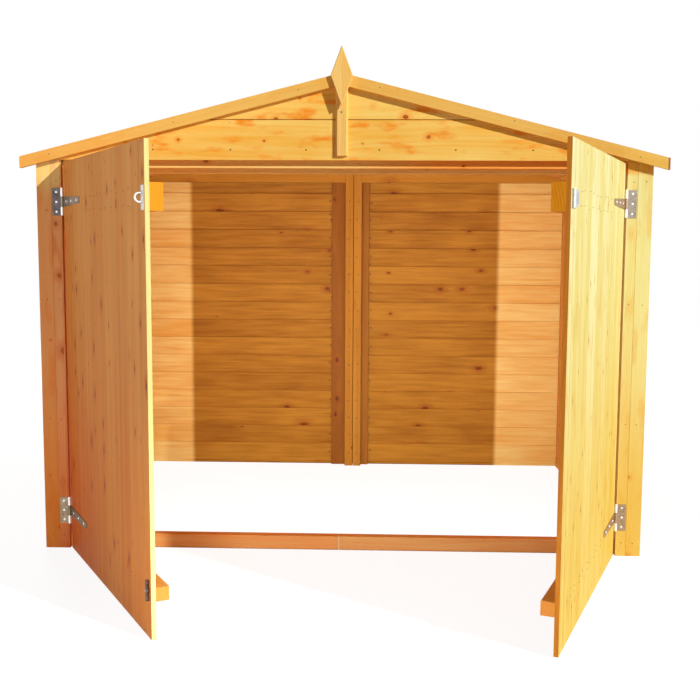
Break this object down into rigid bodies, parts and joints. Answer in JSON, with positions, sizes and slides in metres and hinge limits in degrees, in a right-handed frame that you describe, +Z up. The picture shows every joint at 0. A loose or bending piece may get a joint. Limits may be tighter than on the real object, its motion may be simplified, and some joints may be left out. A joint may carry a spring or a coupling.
{
  "type": "timber bike shelter",
  "caption": "Low apex-roofed timber bike shelter with overlap-board walls, a felted roof and a pair of ledged doors on tee hinges, shown standing open.",
  "frame": {"origin": "on the ground, under the middle of the front sill", "axes": "+X to the right seen from the front, +Y to the back, +Z up"},
  "size_m": [2.037, 2.2009, 1.6144],
  "materials": {
    "softwood": "dip-treated golden softwood",
    "cladding": "dip-treated overlap board",
    "felt": "mineral roofing felt",
    "galvanised": "zinc plated",
    "brown_fitting": "dark brown"
  },
  "bodies": {
    "shelter": {"back_bargeboard_left": "softwood", "back_bargeboard_right": "softwood", "back_cover_strips": "softwood", "back_posts": "softwood", "back_rails": "softwood", "back_stiles": "softwood", "back_wall_left": "cladding", "back_wall_right": "cladding", "bottom_rails": "softwood", "corner_strips": "softwood", "felt_left": "felt", "felt_ridge_cap": "felt", "felt_right": "felt", "finial_diamond": "softwood", "finial_stem": "softwood", "front_bargeboard_left": "softwood", "front_bargeboard_right": "softwood", "front_sill_left": "softwood", "front_sill_right": "softwood", "front_top_plate": "softwood", "gable_left": "softwood", "gable_right": "softwood", "header_left": "softwood", "header_right": "softwood", "hinge_pins": "galvanised", "hinge_plates": "galvanised", "left_front_post": "softwood", "left_jamb_strip": "softwood", "left_wall": "cladding", "ridge_beam": "softwood", "right_front_post": "softwood", "right_jamb_strip": "softwood", "right_wall": "cladding", "roof_left": "cladding", "roof_right": "cladding", "side_studs": "softwood", "top_rails": "softwood"},
    "left_door": {"left_door_boards": "softwood", "left_door_brace": "softwood", "left_door_ledges": "softwood", "left_door_straps": "galvanised", "hasp_staple": "galvanised", "button_screw": "galvanised"},
    "right_door": {"right_door_boards": "softwood", "right_door_brace": "softwood", "right_door_ledges": "softwood", "right_door_straps": "galvanised", "hasp_plate": "galvanised"},
    "hasp_leaf": {"hasp_leaf": "galvanised"},
    "turn_button": {"turn_button": "brown_fitting"}
  },
  "joints": [
    {"name": "left_door_hinge", "type": "hinge", "parent": "shelter", "child": "left_door", "pos_m": [-0.89201, -0.0398, 0.6], "axis": [0, 0, -1], "range_deg": [-60.2, 89.8]},
    {"name": "right_door_hinge", "type": "hinge", "parent": "shelter", "child": "right_door", "pos_m": [0.89201, -0.0398, 0.6], "axis": [0, 0, 1], "range_deg": [-69.1, 80.9]},
    {"name": "hasp_swing", "type": "hinge", "parent": "right_door", "child": "hasp_leaf", "pos_m": [0.57958, -0.85713, 1.118], "axis": [0, 0, 1], "range_deg": [-180, 0]},
    {"name": "turn_button_swivel", "type": "hinge", "parent": "left_door", "child": "turn_button", "pos_m": [-0.45901, -0.79325, 0.129], "axis": [-0.8678, -0.497, 0], "range_deg": [-90, 0]}
  ]
}
